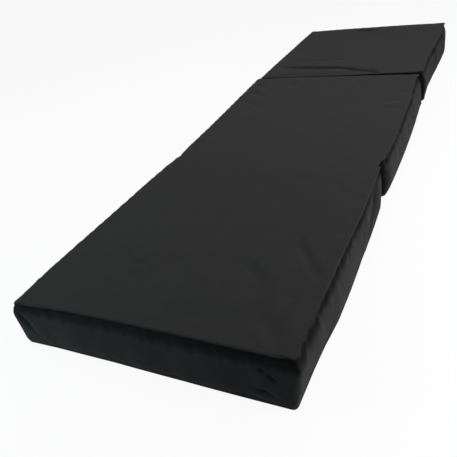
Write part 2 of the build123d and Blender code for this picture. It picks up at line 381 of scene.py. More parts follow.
# Walls that lean back towards the top: the place along each and how far at the seam
wallLeans = {
    "foot": {
        "front": [
            (-0.3, 0.004), (-0.245, 0.006), (-0.17, 0.01), (-0.03, 0.012), (0.09, 0.013), (0.25, 0.0135),
            (0.3, 0.018)
        ],
        "right": [
            (-1.0, -0.009), (-0.915, -0.0055), (-0.85, 0.001), (-0.78, 0.0055), (-0.7, 0.005),
            (-0.6, 0.001), (-0.52, 0.0015), (-0.43, 0.0)
        ],
    },
    "middle": {
        "right": [
            (-0.336, 0.0), (-0.3, 0.001), (-0.19, 0.001), (-0.05, 0.006), (0.11, 0.007), (0.245, 0.013),
            (0.3, 0.0145), (0.336, 0.01)
        ],
    },
    "head": {"right": [(0.344, 0.002), (1.016, 0.002)]},
}
# The front corners: on the left the cover bulges out over the foam and turns under near the floor, on the
# right it's drawn to a tighter edge
frontCorners = {
    "left": {
        "swell": 0.005,
        "span": 0.034,
        "profile": [
            (0.0, -0.8), (0.12, -0.45), (0.45, 0.05), (0.85, 0.9), (0.96, 0.6), (1.0, 0.1), (1.06, -0.6)
        ],
    },
    "right": {
        "swell": 0.006,
        "span": 0.015,
        "profile": [(0.0, 0.0), (0.12, 0.5), (0.4, 1.0), (0.8, 0.8), (1.0, 0.2), (1.06, 0.0)],
    },
}
# For each side of a section: across or along, outwards, how far in it's felt, and the section's edge there
sideWays = {"left": (0, -1, 0.12, "left"), "right": (0, 1, 0.12, "right"),
            "front": (1, -1, 0.07, "foot"), "back": (1, 1, 0.07, "head")}


def sectionSizes(name):
    low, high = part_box(f"{name}_side_band")
    return {
        "name": name, "left": low.x, "right": high.x, "foot": low.y, "head": high.y,
        "middleY": (low.y + high.y) / 2, "baseSeam": low.z, "topSeam": high.z,
        "zipHeight": (low.z + high.z) / 2, "top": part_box(f"{name}_top_panel")[1].z,
        "footBow": cover["endBow"] if name == "foot" else 0.0,
        "headBow": cover["endBow"] if name == "head" else 0.0,
        "headDroop": cover["levelDroop"] if name == "foot" else 1.0,
        "footDroop": cover["levelDroop"] if name == "middle" else 1.0,
        "joinedEnd": {"foot": high.y, "middle": low.y, "head": None}[name],
    }


# One side of the outline, from a corner's middle to the next one's
def outlineSide(start, end, radius, bow, cells):
    start, end = np.array(start), np.array(end)
    length = np.hypot(*(end - start))
    way = (end - start) / length
    inwards = np.array((-way[1], way[0]))
    corner = cover["cornerCells"]
    points = []
    for i in range(cells):
        fromCorner = min(i, cells - i)
        if fromCorner < corner:
            turn = math.pi / 4 * (corner - fromCorner) / corner
            run, depth = way * radius * (1 - math.sin(turn)), inwards * radius * (1 - math.cos(turn))
            points.append((start + run if i < corner else end - run) + depth)
        else:
            share = (i - corner) / (cells - 2 * corner)
            points.append(start + way * (radius + share * (length - 2 * radius)))
    points = np.array(points)
    share = ((points - start) @ way) / length
    return points - np.outer(bow * 4 * share * (1 - share), inwards)


# The outline of a section, drawn in by an inset: along the foot end, the right side, the head end, the left
def outlineRing(size, inset, across, along):
    radius = max(cover["cornerRadius"] - cover["radiusLoss"] * inset, cover["leastRadius"])
    rightBow = sideBows[size["name"]]
    left, right = size["left"] + inset, size["right"] - inset - rightBow
    foot, head = size["foot"] + inset + size["footBow"], size["head"] - inset - size["headBow"]
    sides = [
        ((left, foot), (right, foot), radius, size["footBow"], across),
        ((right, foot), (right, head), radius, rightBow, along),
        ((right, head), (left, head), radius, size["headBow"], across),
        ((left, head), (left, foot), radius, 0.0, along),
    ]
    return np.vstack([outlineSide(*side) for side in sides])


def stackRings(rings, levels):
    return np.vstack([np.column_stack([ring, np.full(len(ring), height)])
                      for ring, (inset, height) in zip(rings, levels)])


# The indices of a grid that fills a ring, and the places of its inner points
def fillGrid(ring, firstNew, ringStart, across, along):
    index = np.zeros((along + 1, across + 1), int)
    around = np.arange(len(ring))
    index[0, :] = around[:across + 1]
    index[:, -1] = around[across:across + along + 1]
    index[-1, ::-1] = around[across + along:2 * across + along + 1]
    index[::-1, 0] = np.append(around[2 * across + along:], 0)
    u = np.linspace(0, 1, across + 1)[None, :, None]
    v = np.linspace(0, 1, along + 1)[:, None, None]
    foot, head, left, right = ring[index[0]], ring[index[-1]], ring[index[:, 0]], ring[index[:, -1]]
    grid = (1 - v) * foot[None] + v * head[None] + (1 - u) * left[:, None] + u * right[:, None]
    grid -= (1 - u) * (1 - v) * foot[0] + u * (1 - v) * foot[-1] + (1 - u) * v * head[0] + u * v * head[-1]
    index += ringStart
    index[1:-1, 1:-1] = firstNew + np.arange((along - 1) * (across - 1)).reshape(along - 1, across - 1)
    return index, grid[1:-1, 1:-1].reshape(-1, 2)


def gridFaces(index, upwards=True):
    quads = np.stack([index[:-1, :-1], index[:-1, 1:], index[1:, 1:], index[1:, :-1]], -1).reshape(-1, 4)
    return quads if upwards else quads[:, ::-1]


# The quads between a ring and the next one up, one for each column
def ringFaces(ring, count):
    here = np.arange(count)
    after = (here + 1) % count
    return ring * count + np.stack([here, after, count + after, count + here], -1)


def lengths(vectors):
    return np.linalg.norm(vectors, axis=1)


def quadNormals(points, faces):
    corners = points[faces]
    return np.cross(corners[:, 2] - corners[:, 0], corners[:, 3] - corners[:, 1])


def vertexNormals(points, faces):
    normal = quadNormals(points, faces)
    total = np.zeros_like(points)
    for k in range(4):
        np.add.at(total, faces[:, k], normal)
    return total / np.maximum(lengths(total), 1e-12)[:, None]


# Says how large a cloth was cut, to half a millimetre: from its pattern's extent and its quads' area
def declareCloth(piece, points, faces, pattern):
    area = lengths(quadNormals(points, faces)).sum() / 2
    length, width = sorted(np.ptp(pattern.reshape(-1, 2), axis=0), reverse=True)
    width, length = (math.ceil(value * 2000) / 2000 for value in (max(width, area / length), length))
    print(f"{piece.name}: cut {width * 1000:.0f} x {length * 1000:.0f} mm, {area:.3f} square metres")


def readNumbers(values, key, kind, width=1):
    numbers = np.zeros(len(values) * width, kind)
    values.foreach_get(key, numbers)
    return numbers.reshape(-1, width) if width > 1 else numbers


# Keeps a cloth's level edges where they are, so that no seam opens when the cloth is rounded off
def holdSeams(mesh):
    ends = readNumbers(mesh.edges, "vertices", np.int32, 2)
    sides = readNumbers(mesh.loops, "edge_index", np.int32)
    alone = np.bincount(sides, minlength=len(ends)) == 1
    places = readNumbers(mesh.vertices, "co", np.float32, 3)
    run = places[ends[:, 1]] - places[ends[:, 0]]
    level = np.abs(run[:, 2]) < 0.5 * lengths(run)
    crease = mesh.attributes.new("crease_edge", "FLOAT", "EDGE")
    crease.data.foreach_set("value", (alone & level).astype(np.float32))


# A piece from some of a skin's faces: only the points they use are kept. Over names the sections that a
# cloth covers, and only a cloth has a pattern, wear, painted shade, a thickness and creases
def makePiece(name, skin, faces, finish, detail=1, over=(), creased=False):
    used, packed = np.unique(faces, return_inverse=True)
    mesh = bpy.data.meshes.new(name)
    mesh.from_pydata(skin["points"][used].tolist(), [], packed.reshape(faces.shape).tolist())
    if over:
        pattern = skin["grain"][faces]
        across = pattern[:, :, :1]
        furthest = across.max(axis=1, keepdims=True)  # far from the rest in the quads that close a band
        pattern[:, :, :1] = np.where(furthest - across > 1, furthest + cover["lastStep"], across)
        mesh.uv_layers.new(name="grain").data.foreach_set("uv", pattern.astype(np.float32).ravel())
        for key in ("rub", "fresh"):
            attribute = mesh.attributes.new(key, "FLOAT", "POINT")
            attribute.data.foreach_set("value", skin[key][used].astype(np.float32))
    mesh.materials.append(finishes[finish])
    mesh.validate()
    piece = addObject(name, mesh)
    if over:
        holdSeams(mesh)
        solid = piece.modifiers.new("thickness", "SOLIDIFY")
        solid.thickness = cover["clothThickness"]
        solid.offset = -1
    if detail:
        smooth = piece.modifiers.new("smooth", "SUBSURF")
        smooth.levels = smooth.render_levels = detail
    applyModifiers(piece)
    for section in over if creased else ():
        pressFolds(piece.data, section)
    if over:
        declareCloth(piece, skin["points"], faces, pattern)
    return piece


def applyModifiers(piece):
    if piece.modifiers:
        bpy.context.view_layer.update()
        graph = bpy.context.evaluated_depsgraph_get()
        finished = bpy.data.meshes.new_from_object(piece.evaluated_get(graph), depsgraph=graph)
        rough = piece.data
        piece.modifiers.clear()
        piece.data = finished
        bpy.data.meshes.remove(rough)
    shadeSmooth(piece.data)


def shadeSmooth(mesh):
    for face in mesh.polygons:
        face.use_smooth = True


# The cover settles under cloth simulation: slack walls between stiff seams, filled from inside
settling = {"frames": 16, "wallSlack": 0.010, "frontSlack": 0.0005, "topSlack": 0.002, "mostMove": 0.0035,
            "seamGrip": 0.92, "zipHalf": 0.01, "frontDepth": 0.025}
clothSettings = {
    "quality": 4,
    "mass": 0.25,
    "tension_stiffness": 12,
    "compression_stiffness": 12,
    "shear_stiffness": 4,
    "bending_stiffness": 0.35,
    "vertex_group_mass": "pins",
    "pin_stiffness": 1,
    "use_pressure": True,
    "uniform_pressure_force": 1.4,
    "vertex_group_shrink": "tightness",
    "shrink_min": -settling["wallSlack"],
    "shrink_max": 0.0,
}


def settleCloth(name, points, faces, pins, slack):
    mesh = bpy.data.meshes.new(name)
    mesh.from_pydata(points.tolist(), [], faces.tolist())
    cloth = addObject(name, mesh)
    for key, weights in (("pins", pins), ("tightness", 1 - slack)):
        group = cloth.vertex_groups.new(name=key)
        for weight in np.unique(weights):
            group.add(np.flatnonzero(weights == weight).tolist(), float(weight), "REPLACE")
    modifier = cloth.modifiers.new("cloth", "CLOTH")
    for key, value in clothSettings.items():
        setattr(modifier.settings, key, value)
    modifier.settings.effector_weights.gravity = 0
    modifier.collision_settings.use_collision = False
    modifier.point_cache.frame_end = settling["frames"]
    for step in range(1, settling["frames"] + 1):
        bpy.context.scene.frame_set(step)
    settled = cloth.evaluated_get(bpy.context.evaluated_depsgraph_get()).data
    move = readNumbers(settled.vertices, "co", np.float32, 3) - points
    bpy.context.scene.frame_set(1)
    bpy.data.objects.remove(cloth)
    bpy.data.meshes.remove(mesh)
    size, most = lengths(move)[:, None], settling["mostMove"]
    return points + move * (most * np.tanh(size / most) / np.maximum(size, 1e-9))


# Smooth unevenness along a line, from a few seeded waves
def wobble(seed, along, shortest, longest, waves=7):
    draw = np.random.default_rng(seed)
    total = np.zeros(len(along))
    for k in range(waves):
        wavelength = draw.uniform(shortest, longest)
        total += np.sin(along * 2 * math.pi / wavelength + draw.uniform(0, 2 * math.pi))
    return total / math.sqrt(waves / 2)


def smoothShare(value, low, high):
    share = np.clip((value - low) / (high - low), 0, 1)
    return share * share * (3 - 2 * share)


# Dies away on both sides of a place
def hump(distance, width):
    return np.exp(-(distance / width) ** 2)


# How far a table of places and amounts moves each point
def follow(table, places):
    return np.interp(places, *np.transpose(table))


# Folds that the photograph shows. Each is where it starts and ends, its width and its height, which is
# negative for a valley. On the top the places are across and along, on a wall along it and up
folds = {
    "foot": {
        "top": [
            (0.188, -0.685, 0.267, -0.803, 0.01, -0.0022), (0.2, -0.675, 0.28, -0.79, 0.01, 0.001),
            (0.2, -0.914, 0.267, -1.0, 0.014, -0.0024), (0.15, -0.905, 0.215, -0.985, 0.014, 0.001),
            (0.096, -0.772, 0.134, -0.77, 0.012, 0.0022), (0.116, -0.785, 0.18, -0.845, 0.012, -0.0022),
            (0.134, -0.77, 0.2, -0.83, 0.011, 0.0013), (0.24, -0.866, 0.248, -0.872, 0.007, -0.002),
            (-0.112, -0.806, -0.1, -0.812, 0.011, 0.0026), (-0.12, -0.838, -0.096, -0.832, 0.01, -0.0022),
            (0.11, -0.43, 0.145, -0.455, 0.018, -0.0013), (0.2, -0.45, 0.262, -0.52, 0.014, -0.0015),
        ],
        "right": [
            (-0.88, 0.088, -0.862, 0.04, 0.007, -0.0022), (-0.855, 0.09, -0.84, 0.045, 0.007, 0.0014),
            (-0.8, 0.086, -0.827, 0.045, 0.007, -0.0018), (-0.78, 0.084, -0.8, 0.05, 0.007, 0.0012),
            (-0.69, 0.086, -0.705, 0.058, 0.006, -0.0014), (-0.56, 0.088, -0.575, 0.03, 0.008, -0.0012),
            (-0.555, 0.014, -0.395, 0.086, 0.021, -0.006), (-0.455, 0.03, -0.39, 0.046, 0.01, 0.0018),
            (-0.64, 0.086, -0.61, 0.06, 0.007, -0.0018),
        ],
        "front": [
            (0.226, 0.07, 0.238, 0.066, 0.005, -0.0034), (0.242, 0.064, 0.262, 0.052, 0.0055, -0.0036),
            (0.226, 0.032, 0.252, 0.026, 0.006, -0.0036), (0.218, 0.05, 0.242, 0.046, 0.007, 0.001),
            (0.19, 0.04, 0.206, 0.034, 0.007, 0.001), (0.256, 0.036, 0.27, 0.03, 0.006, 0.001),
            (0.15, 0.084, 0.175, 0.06, 0.008, -0.0008), (-0.12, 0.086, -0.1, 0.062, 0.008, -0.0009),
            (-0.296, 0.09, -0.264, 0.048, 0.0065, -0.0046), (-0.27, 0.056, -0.246, 0.022, 0.005, -0.0016),
        ],
    },
    "middle": {
        "top": [
            (-0.15, 0.3, -0.138, 0.302, 0.018, 0.0026), (-0.138, 0.256, -0.13, 0.256, 0.018, -0.003),
            (0.088, 0.292, 0.102, 0.294, 0.02, 0.0026), (0.108, 0.236, 0.118, 0.234, 0.018, -0.0028),
            (0.196, 0.112, 0.24, 0.104, 0.01, 0.0012), (0.206, 0.085, 0.262, 0.082, 0.009, -0.0012),
            (0.226, 0.05, 0.272, 0.058, 0.009, 0.0011), (0.214, 0.018, 0.27, 0.03, 0.009, -0.0011),
            (0.232, -0.022, 0.284, -0.008, 0.01, 0.0009), (0.242, 0.15, 0.284, 0.16, 0.01, -0.001),
            (-0.29, 0.27, -0.232, 0.225, 0.012, -0.002), (-0.288, 0.23, -0.21, 0.175, 0.013, 0.0017),
            (-0.286, 0.19, -0.19, 0.13, 0.013, -0.0017), (-0.286, 0.145, -0.17, 0.075, 0.014, 0.0012),
            (-0.284, 0.1, -0.15, 0.02, 0.014, -0.001),
        ],
        "right": [
            (-0.25, 0.086, -0.262, 0.05, 0.008, -0.0014), (-0.09, 0.086, -0.08, 0.052, 0.008, -0.0012),
            (0.12, 0.088, 0.108, 0.05, 0.008, -0.0014), (0.26, 0.086, 0.276, 0.04, 0.008, -0.0018),
        ],
    },
    "head": {
        "top": [
            (-0.235, 0.46, -0.12, 0.446, 0.01, -0.005), (-0.14, 0.448, -0.01, 0.434, 0.0105, -0.0082),
            (-0.02, 0.436, 0.105, 0.386, 0.0095, -0.008), (0.095, 0.392, 0.138, 0.362, 0.009, -0.005),
            (-0.24, 0.486, 0.04, 0.438, 0.01, 0.0024), (-0.212, 0.53, -0.08, 0.536, 0.011, -0.0022),
            (-0.08, 0.536, 0.022, 0.52, 0.011, -0.0018), (0.108, 0.558, 0.146, 0.656, 0.024, -0.0016),
            (-0.075, 0.965, 0.002, 0.948, 0.013, -0.0036), (-0.05, 0.985, 0.03, 0.968, 0.01, 0.0018),
        ],
        "right": [
            (0.42, 0.086, 0.408, 0.04, 0.008, -0.0014), (0.7, 0.086, 0.69, 0.05, 0.008, -0.0012),
            (0.88, 0.086, 0.896, 0.04, 0.008, -0.0016),
        ],
    },
}
foldAxes = {"top": (0, 1, 2, 1), "right": (1, 2, 0, 1), "front": (0, 2, 1, -1)}
foldPress = {
    "endStrength": 0.4,
    "mostRaise": 0.0016,
    "deep": 0.0031,  # a deeper fold than this gets painted shade, a dark colour along its valley
    # black and blackWidth: how strong the painted shade in a deep fold is, and how wide against the fold
    "black": 0.95,
    "blackWidth": 0.75,
    "endReach": 0.02,
    "sideReach": 0.04,
    "frontReach": 0.03,
    "fromBaseSeam": (0.0, 0.01),  # over these heights a fold fades in
    "toTopSeam": (-0.008, -0.001),
    "fromTopSeam": (0.003, 0.006),
}


# Presses a section's folds into a finished mesh, dying away towards the seams, and paints shade along the deep
# valleys
def pressFolds(mesh, name):
    size = sectionSizes(name)
    points = readNumbers(mesh.vertices, "co", np.float32, 3)
    fresh = readNumbers(mesh.attributes["fresh"].data, "value", np.float32)
    moves = np.zeros_like(points)
    x, y, z = points.T

    def fade(seam, key):
        return smoothShare(z, *(size[seam] + height for height in foldPress[key]))

    inside = (y > size["foot"] - foldPress["endReach"]) & (y < size["head"] + foldPress["endReach"])
    onWall = fade("baseSeam", "fromBaseSeam") * (1 - fade("topSeam", "toTopSeam"))
    masks = {
        "top": inside * fade("topSeam", "fromTopSeam"),
        "right": inside * onWall * (x > size["right"] - foldPress["sideReach"]),
        "front": onWall * (y < size["foot"] + foldPress["frontReach"]),
    }
    for face, lines in folds[name].items():
        across, up, out, sign = foldAxes[face]
        place = points[:, (across, up)]
        for *ends, width, height in lines:
            start, along = np.array(ends[:2]), np.subtract(ends[2:], ends[:2])
            share = np.clip(((place - start) @ along) / (along @ along), 0, 1)
            gap = lengths(place - start - share[:, None] * along)
            least = foldPress["endStrength"]
            strength = masks[face] * (least + (1 - least) * np.sin(math.pi * share))
            moves[:, out] += sign * height * strength * hump(gap, width)
            # painted shade along a deep valley
            if height < -foldPress["deep"]:
                black = hump(gap, foldPress["blackWidth"] * width)
                fresh = np.maximum(fresh, foldPress["black"] * strength * black)
    raised, most = np.maximum(moves[:, 2], 0), foldPress["mostRaise"]
    moves[:, 2] += most * np.tanh(raised / most) - raised
    mesh.vertices.foreach_set("co", (points + moves).ravel())
    mesh.attributes["fresh"].data.foreach_set("value", fresh)
    mesh.update()


# How far a wall is drawn in at a height: most at its seams, less where it comes out over the foam
def wallInset(size, height, reach):
    drawn = 0
    for fromSeam, inset, over in ((size["topSeam"] - height, cover["seamInset"], reach),
                                  (height - size["baseSeam"], cover["baseSeamInset"], cover["grooveReach"])):
        drawn += inset * (1 - math.sin(math.pi / 2 * min(fromSeam / over, 1))) ** cover["grooveShape"]
    return drawn


# A ring of the wall or rim. It's drawn in less round the corners, where the foam pushes it out, and by
# another amount along the front
def drawnRing(size, inset, frontInset=None):
    across, along = cover["cellsAcross"], cover["cellsAlong"]
    outer, drawn = outlineRing(size, 0.0, across, along), outlineRing(size, inset, across, along)
    if frontInset is not None:
        front = outlineRing(size, frontInset, across, along)
        starts, full, goes, ends = cover["frontGroove"]
        share = smoothShare(outer[:, 0], starts, full) * (outer[:, 1] < size["foot"] + cover["frontDepth"])
        share *= 1 - smoothShare(outer[:, 0], goes, ends)
        drawn = drawn + (front - drawn) * share[:, None]
    for corner, grip in zip((0, across, across + along, 2 * across + along), cover["cornerGrip"]):
        grip = grip if size["name"] == "foot" else cover["cornerGrip"][-1]
        gap = lengths(outer - outer[corner])
        drawn = outer + (drawn - outer) * (1 - (1 - grip) * hump(gap, cover["cornerSpan"]))[:, None]
    return drawn


# Moves a section's sides and ends to where the photograph shows them, from the tables above
def shiftEdges(points, size):
    shifts, leans = edgeShifts[size["name"]], wallLeans[size["name"]]
    x, y, z = points.T.copy()
    upWall = np.clip((z - size["baseSeam"]) / (size["topSeam"] - size["baseSeam"]), 0, 1) ** cover["leanShape"]
    above, below = cover["leftMoves"]
    aboveZip = smoothShare(z, size["zipHeight"] + above, size["topSeam"] + below)
    if size["name"] == "foot":
        for side, corner in frontCorners.items():
            gap = np.hypot(x - size[side], y - size["foot"])
            swell = corner["swell"] * math.sqrt(0.5) * hump(gap, corner["span"])
            swell *= follow(corner["profile"], z / size["topSeam"])
            points[:, 0] += swell if side == "right" else -swell
            points[:, 1] -= swell
    for side, table in shifts.items():
        out, sign, reach, edge = sideWays[side]
        place, along = (x, y) if out == 0 else (y, x)
        move = follow(table, along)
        if side in leans:
            move = move - follow(leans[side], along) * upWall
        if side == "left":
            move = move * aboveZip
        points[:, out] += sign * move * np.clip(1 - sign * (size[edge] - place) / reach, 0, 1) ** 2


# The heights of the wall's rows, closer together near the seams and the zip, with one at the zip's height
def wallHeights(size):
    mid, slot, cells, start = size["zipHeight"], cover["zipSlotHalf"], cover["wallCells"], cover["wallBend"]
    bend = [0.5 - 0.5 * math.cos(math.pi * (start + (1 - start) * k / cells)) for k in range(cells + 1)]
    shares = [(value - bend[0]) / (bend[-1] - bend[0]) for value in bend]
    rise = mid - slot - cover["zipStitchInset"] - size["baseSeam"]
    lower = [size["baseSeam"] + share * rise for share in shares]
    return lower + [mid - slot, mid, mid + slot] + [2 * mid - height for height in reversed(lower)]


# Points of a stack of rings and of the grid that fills its last ring, and that grid's indices
def fillRings(rings, levels):
    points, last = stackRings(rings, levels), rings[-1]
    index, inner = fillGrid(last, len(points), len(points) - len(last), cover["cellsAcross"], cover["cellsAlong"])
    return np.vstack([points, np.column_stack([inner, np.zeros(len(inner))])]), index


# The whole shell of a cover above its base seam: wall rows, then the top's rim, then its grid
def coverShell(name):
    size = sectionSizes(name)
    across, along = cover["cellsAcross"], cover["cellsAlong"]
    heights = wallHeights(size)
    frontReach = cover["frontGrooveReach"] if name == "foot" else cover["grooveReach"]
    levels = [(wallInset(size, height, cover["grooveReach"]), height) for height in heights]
    rings = [drawnRing(size, inset, wallInset(size, height, frontReach)) for inset, height in levels]
    rimLevels = [(inset, size["topSeam"] + rise) for inset, rise in rim]
    rings += [drawnRing(size, inset) for inset, height in rimLevels]
    levels += rimLevels
    count = len(rings[0])
    points, index = fillRings(rings, levels)
    grid = np.unique(index)
    halfWidth, halfLength = (size["right"] - size["left"]) / 2, (size["head"] - size["foot"]) / 2
    u = np.abs(points[grid, 0]) / halfWidth
    v = (points[grid, 1] - size["middleY"]) / halfLength
    droop = np.where(v > 0, size["headDroop"], size["footDroop"])
    shoulder = levels[-1][1]
    rise = size["top"] - cover["foldRoom"] - shoulder
    squareU, squareV = cover["crownShape"]
    points[grid, 2] = (shoulder + rise * np.clip(1 - u ** squareU, 0, 1)
                       * (1 - droop * np.clip(np.abs(v) ** squareV, 0, 1)))

    outer = outlineRing(size, 0.0, across, along)
    steps = lengths(np.roll(outer, -1, 0) - outer)
    wallRows = len(heights)
    onLeft = np.arange(count) >= 2 * across + along
    fromEnd = halfLength - np.abs(outer[:, 1] - size["middleY"])
    return {
        "size": size, "points": points, "index": index, "count": count, "grid": grid, "heights": heights,
        "girth": np.concatenate([[0], np.cumsum(steps)[:-1]]), "wallRows": wallRows, "rings": len(levels),
        "wallFaces": [ringFaces(k, count) for k in range(wallRows - 1)],
        "rimFaces": [ringFaces(k, count) for k in range(wallRows - 1, len(levels) - 1)],
        "gridFaces": gridFaces(index),
        "zipColumns": np.flatnonzero(onLeft & (fromEnd > cover["zipEndMargin"])),
        "flatColumns": np.flatnonzero(onLeft & (fromEnd > cover["flatEndMargin"])),
    }


# How hard each point is held while the cloth settles: the seams and the zip's strips
def coverPins(shell):
    count, rows = shell["count"], shell["wallRows"]
    pins = np.zeros(len(shell["points"]))
    pins[:count] = 1
    pins[(rows - 1) * count:rows * count] = settling["seamGrip"]
    for k, height in enumerate(shell["heights"]):
        if abs(height - shell["size"]["zipHeight"]) < settling["zipHalf"]:
            pins[k * count + shell["flatColumns"]] = 1
    return pins


# Puckers run down from the top seam and up from the base seam, and a few onto the top. Each wave's
# shortest and longest length is measured round the cover
puckers = {
    "fineWaves": (0.016, 0.045),
    "broadWaves": (0.08, 0.26),
    "rimWaves": (0.02, 0.06),
    "topHeight": 0.00075,
    "topReach": 0.016,
    "seamHalf": 0.003,  # the seam itself stays straight
    "baseHeight": 0.0006,
    "baseReach": 0.012,
    "baseSeamShare": 0.3,
    "broadHeight": 0.0010,
    "zipFlat": 0.01,  # no puckers this near the zip's middle
    "zipSwell": 0.026,  # and only outward ones up to here
    "rimHeight": 0.00035,
    "rimCells": 8,
    "rimFade": 3,
    "calmReach": 0.08,  # from the joint that the cloth runs over
}
baseRub = 0.5  # rubbed cloth along the base


def puckerWall(points, shell, seed):
    size, count = shell["size"], shell["count"]
    column = np.arange(shell["rings"] * count) % count
    fine = wobble(seed, shell["girth"], *puckers["fineWaves"])[column]
    broad = wobble(seed + 1, shell["girth"], *puckers["broadWaves"])[column]
    height = points[:len(column), 2]
    nearTop = hump(size["topSeam"] - height, puckers["topReach"])
    nearBase = hump(height - size["baseSeam"], puckers["baseReach"])
    offSeam = 1 - hump(size["topSeam"] - height, puckers["seamHalf"])
    push = puckers["topHeight"] * fine * nearTop * offSeam + puckers["baseHeight"] * fine * nearBase
    push += puckers["broadHeight"] * broad * (height < size["topSeam"])
    fromZip = np.abs(height - size["zipHeight"])
    inZip = np.isin(column, shell["flatColumns"])
    swelling = inZip & (fromZip < puckers["zipSwell"])
    push[swelling] = np.maximum(push[swelling], 0)
    push[inZip & (fromZip < puckers["zipFlat"])] = 0
    push[:count] *= puckers["baseSeamShare"]
    normals = vertexNormals(points, allFaces(shell))
    points[:len(column)] += normals[:len(column)] * push[:, None]
    return fine, nearBase


def puckerTop(points, shell, seed):
    size, count, index = shell["size"], shell["count"], shell["index"]
    ripple = wobble(seed, shell["girth"], *puckers["rimWaves"])
    edge = points[index[0, 0]:index[0, 0] + count][None, :, :2]
    for depth in range(1, puckers["rimCells"]):
        inside = np.concatenate([index[depth, depth:-depth], index[-depth - 1, depth:-depth],
                                 index[depth:-depth, depth], index[depth:-depth, -depth - 1]])
        nearest = np.argmin(np.linalg.norm(points[inside][:, None, :2] - edge, axis=2), axis=1)
        fromJoin = np.abs(points[inside, 1] - size["joinedEnd"]) if size["joinedEnd"] is not None else 1.0
        calm = np.clip(fromJoin / puckers["calmReach"], 0, 1) ** 2
        points[inside, 2] += puckers["rimHeight"] * calm * ripple[nearest] * hump(depth, puckers["rimFade"])


# Painted shade: a near-black colour in the groove under the top seam, on the sections' facing ends in the gaps
# and beside the joints, where shade falls. A pair says where it fades in and out, or a share and what is added to
# it
paintedShadeSettings = {
    "nearEnd": (-0.95, -0.7),  # along the bed
    "frontLeft": (-0.30, -0.12),
    "sideWidth": (0.4, 0.9),
    "full": (0.0085, 0.003),
    "fades": (0.017, 0.010),
    "waver": 0.0022,
    "above": (0.0042, 0.0078),
    "rightEdge": 0.27,
    "cornerRise": 0.002,
    "frontRight": (0.24, 0.285),
    "frontShare": (0.86, 0.11),
    "sideShare": 0.97,
    "joint": (0.020, 0.056),
    "jointAbove": (0.004, 0.007),
    "jointShare": 0.7,
    "facingEnds": (-0.004, -0.001),
    "facingShare": 0.96,
}


# Where each wall point gets painted shade: under the top seam, on the facing ends and beside the joints
def paintedSeamAndGapShade(points, shell, fine):
    size, fresh = shell["size"], paintedShadeSettings
    name, across = size["name"], cover["cellsAcross"]
    x, y, height = points[:len(fine)].T
    column = np.arange(len(fine)) % shell["count"]
    corner = across + cover["cellsAlong"]
    onFront = (column < across) & (name == "foot")
    nearEnd = 1 - smoothShare(y, *fresh["nearEnd"])
    least, more = fresh["sideWidth"]
    wide = np.where(onFront, smoothShare(x, *fresh["frontLeft"]), least + more * nearEnd)
    full, fades = (least + more * wide for least, more in (fresh["full"], fresh["fades"]))
    seams = 1 - smoothShare(size["topSeam"] - height + fresh["waver"] * fine, full, fades)
    aboveSeam = height - size["topSeam"] - fresh["cornerRise"] * nearEnd * (x > fresh["rightEdge"])
    seams *= 1 - smoothShare(aboveSeam, *fresh["above"])
    least, more = fresh["frontShare"]
    seams *= np.where(onFront, least + more * smoothShare(x, *fresh["frontRight"]), fresh["sideShare"])
    onRight = (column > across) & (column < corner)
    joint = onRight * (1 - smoothShare(y - size["foot"], *fresh["joint"])) * (name != "foot")
    joint *= fresh["jointShare"] * (1 - smoothShare(height - size["topSeam"], *fresh["jointAbove"]))
    facing = ((column >= corner) & (column <= corner + across) & (name != "head")
              | (column <= across) & (name != "foot"))
    facing = facing * (1 - smoothShare(np.abs(x), *(size["right"] + end for end in fresh["facingEnds"])))
    facing = fresh["facingShare"] * facing * (height < size["topSeam"] + 1e-4)
    return np.maximum(seams, np.maximum(facing, joint))


def allFaces(shell):
    return np.vstack(shell["wallFaces"] + shell["rimFaces"] + [shell["gridFaces"]])


def shapeCover(shell, seed):
    size, count, rows = shell["size"], shell["count"], shell["wallRows"]
    points = shell["points"]
    slack = np.full(len(points), settling["topSlack"] / settling["wallSlack"])
    slack[:rows * count] = 1
    onFront = (points[:, 1] < size["foot"] + settling["frontDepth"]) & (size["name"] == "foot")
    slack[onFront] = settling["frontSlack"] / settling["wallSlack"]
    points = settleCloth(f"{size['name']}_cloth", points, allFaces(shell), coverPins(shell), slack)
    fine, nearBase = puckerWall(points, shell, seed)
    puckerTop(points, shell, seed + 2)
    if size["name"] == "head":
        lowerHeadEdge(points, shell)
    ease = cover["crownEase"]
    over = np.maximum(points[:, 2] - (size["top"] - cover["foldRoom"] - ease), 0)
    points[:, 2] += ease * np.tanh(over / ease) - over
    shiftEdges(points, size)
    rest = np.zeros(len(points) - len(fine))
    shell["points"] = points
    shell["rub"] = np.concatenate([baseRub * nearBase, rest])
    # painted shade in the seam groove, the gaps and beside the joints
    shell["fresh"] = np.concatenate([paintedSeamAndGapShade(points, shell, fine), rest])
    shell["bandGrain"] = layBand(points, shell["girth"], shell["rings"])
    shell["grain"] = layPanel(points, shell["rings"], rows - 1, count)


# Where each point of a band lies in the flat cloth: round the cover and up
def layBand(points, girth, rings):
    grain = points[:, :2].copy()
    around = np.arange(rings * len(girth)) % len(girth)
    grain[:len(around)] = np.column_stack([girth[around], points[:len(around), 2]])
    return grain


# Where each point of a panel lies in it, with its rim laid out round the flat of the panel
def layPanel(points, rings, firstRing, count):
    grain = points[:, :2].copy()
    flat = points[(rings - 1) * count:rings * count]
    outwards = points[(rings - 3) * count:(rings - 2) * count, :2] - flat[:, :2]
    outwards /= np.linalg.norm(outwards, axis=1, keepdims=True)
    reach = np.zeros(count)
    for k in range(rings - 2, firstRing - 1, -1):
        ring, inner = points[k * count:(k + 1) * count], points[(k + 1) * count:(k + 2) * count]
        reach = reach + lengths(ring - inner)
        grain[k * count:(k + 1) * count] = flat[:, :2] + outwards * reach[:, None]
    return grain


# The head section's near edge sinks towards its left, where the cover lies slack over the foam
headEdge = {"drop": 0.0045, "reach": 0.045, "middle": 0.06, "spread": 0.05}


